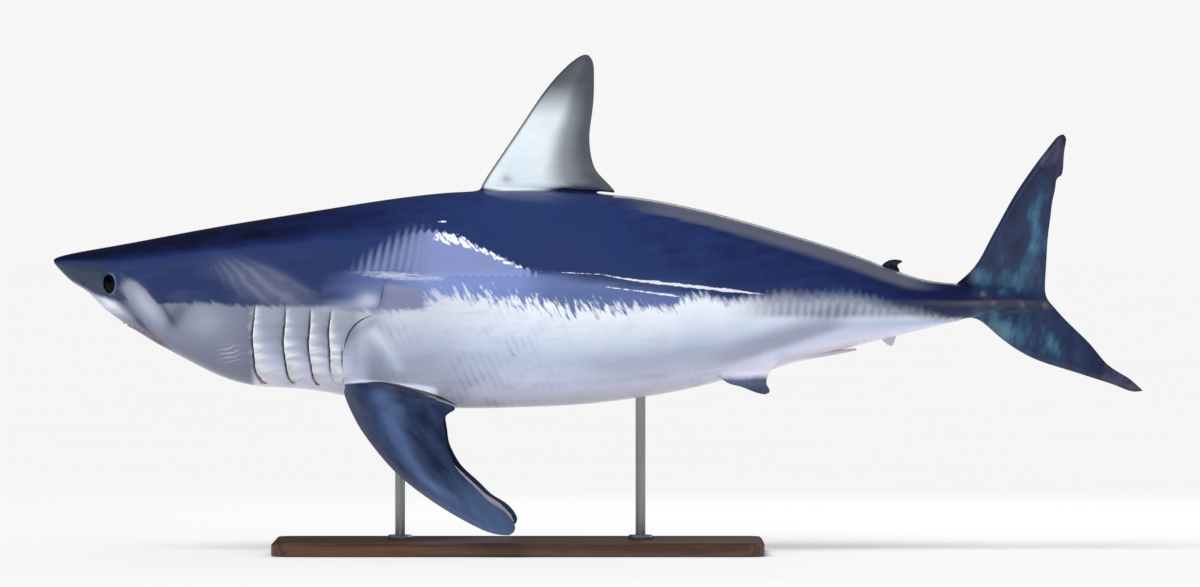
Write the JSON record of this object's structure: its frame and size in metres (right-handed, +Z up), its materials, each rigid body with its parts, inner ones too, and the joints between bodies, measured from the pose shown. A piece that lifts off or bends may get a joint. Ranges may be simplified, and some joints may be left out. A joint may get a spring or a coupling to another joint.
{
  "type": "shortfin mako shark model",
  "caption": "Life-size still model of a slender conical-snouted blue and white shark, swimming straight, held over a flat plinth by upright rods.",
  "frame": {"origin": "on the floor, under the middle of the overall length, in the shark's plane of symmetry", "axes": "+X towards the tail, snout at -X; +Y towards the shark's right side; +Z up"},
  "size_m": [2.1794, 0.4546, 0.999],
  "materials": {
    "skin_blue": "wet glossy, deep blue above fading to pale lavender white below",
    "skin_pale": "wet glossy, bluish white",
    "clasper_pink": "wet satin, pinkish grey",
    "tooth_enamel": "polished, ivory white",
    "eye_black": "polished, near black",
    "stand_wood": "dark stained, satin lacquer",
    "stand_steel": "brushed"
  },
  "bodies": {
    "root": {"head": "skin_blue", "lower_jaw": "skin_pale", "gill_region": "skin_blue", "trunk_front": "skin_blue", "trunk_rear": "skin_blue", "tail_stalk": "skin_blue", "dorsal_fin_first": "skin_blue", "dorsal_fin_second": "skin_blue", "anal_fin": "skin_pale", "pectoral_fin_left": "skin_blue", "pectoral_fin_right": "skin_blue", "pelvic_fin_left": "skin_pale", "pelvic_fin_right": "skin_pale", "clasper_left": "clasper_pink", "clasper_right": "clasper_pink", "tail_lobe_upper": "skin_blue", "tail_lobe_lower": "skin_blue", "eye_left": "eye_black", "eye_right": "eye_black", "stand_base": "stand_wood", "stand_collar_front": "stand_steel", "stand_collar_rear": "stand_steel", "stand_rod_front": "stand_steel", "stand_rod_rear": "stand_steel"}
  },
  "joints": []
}
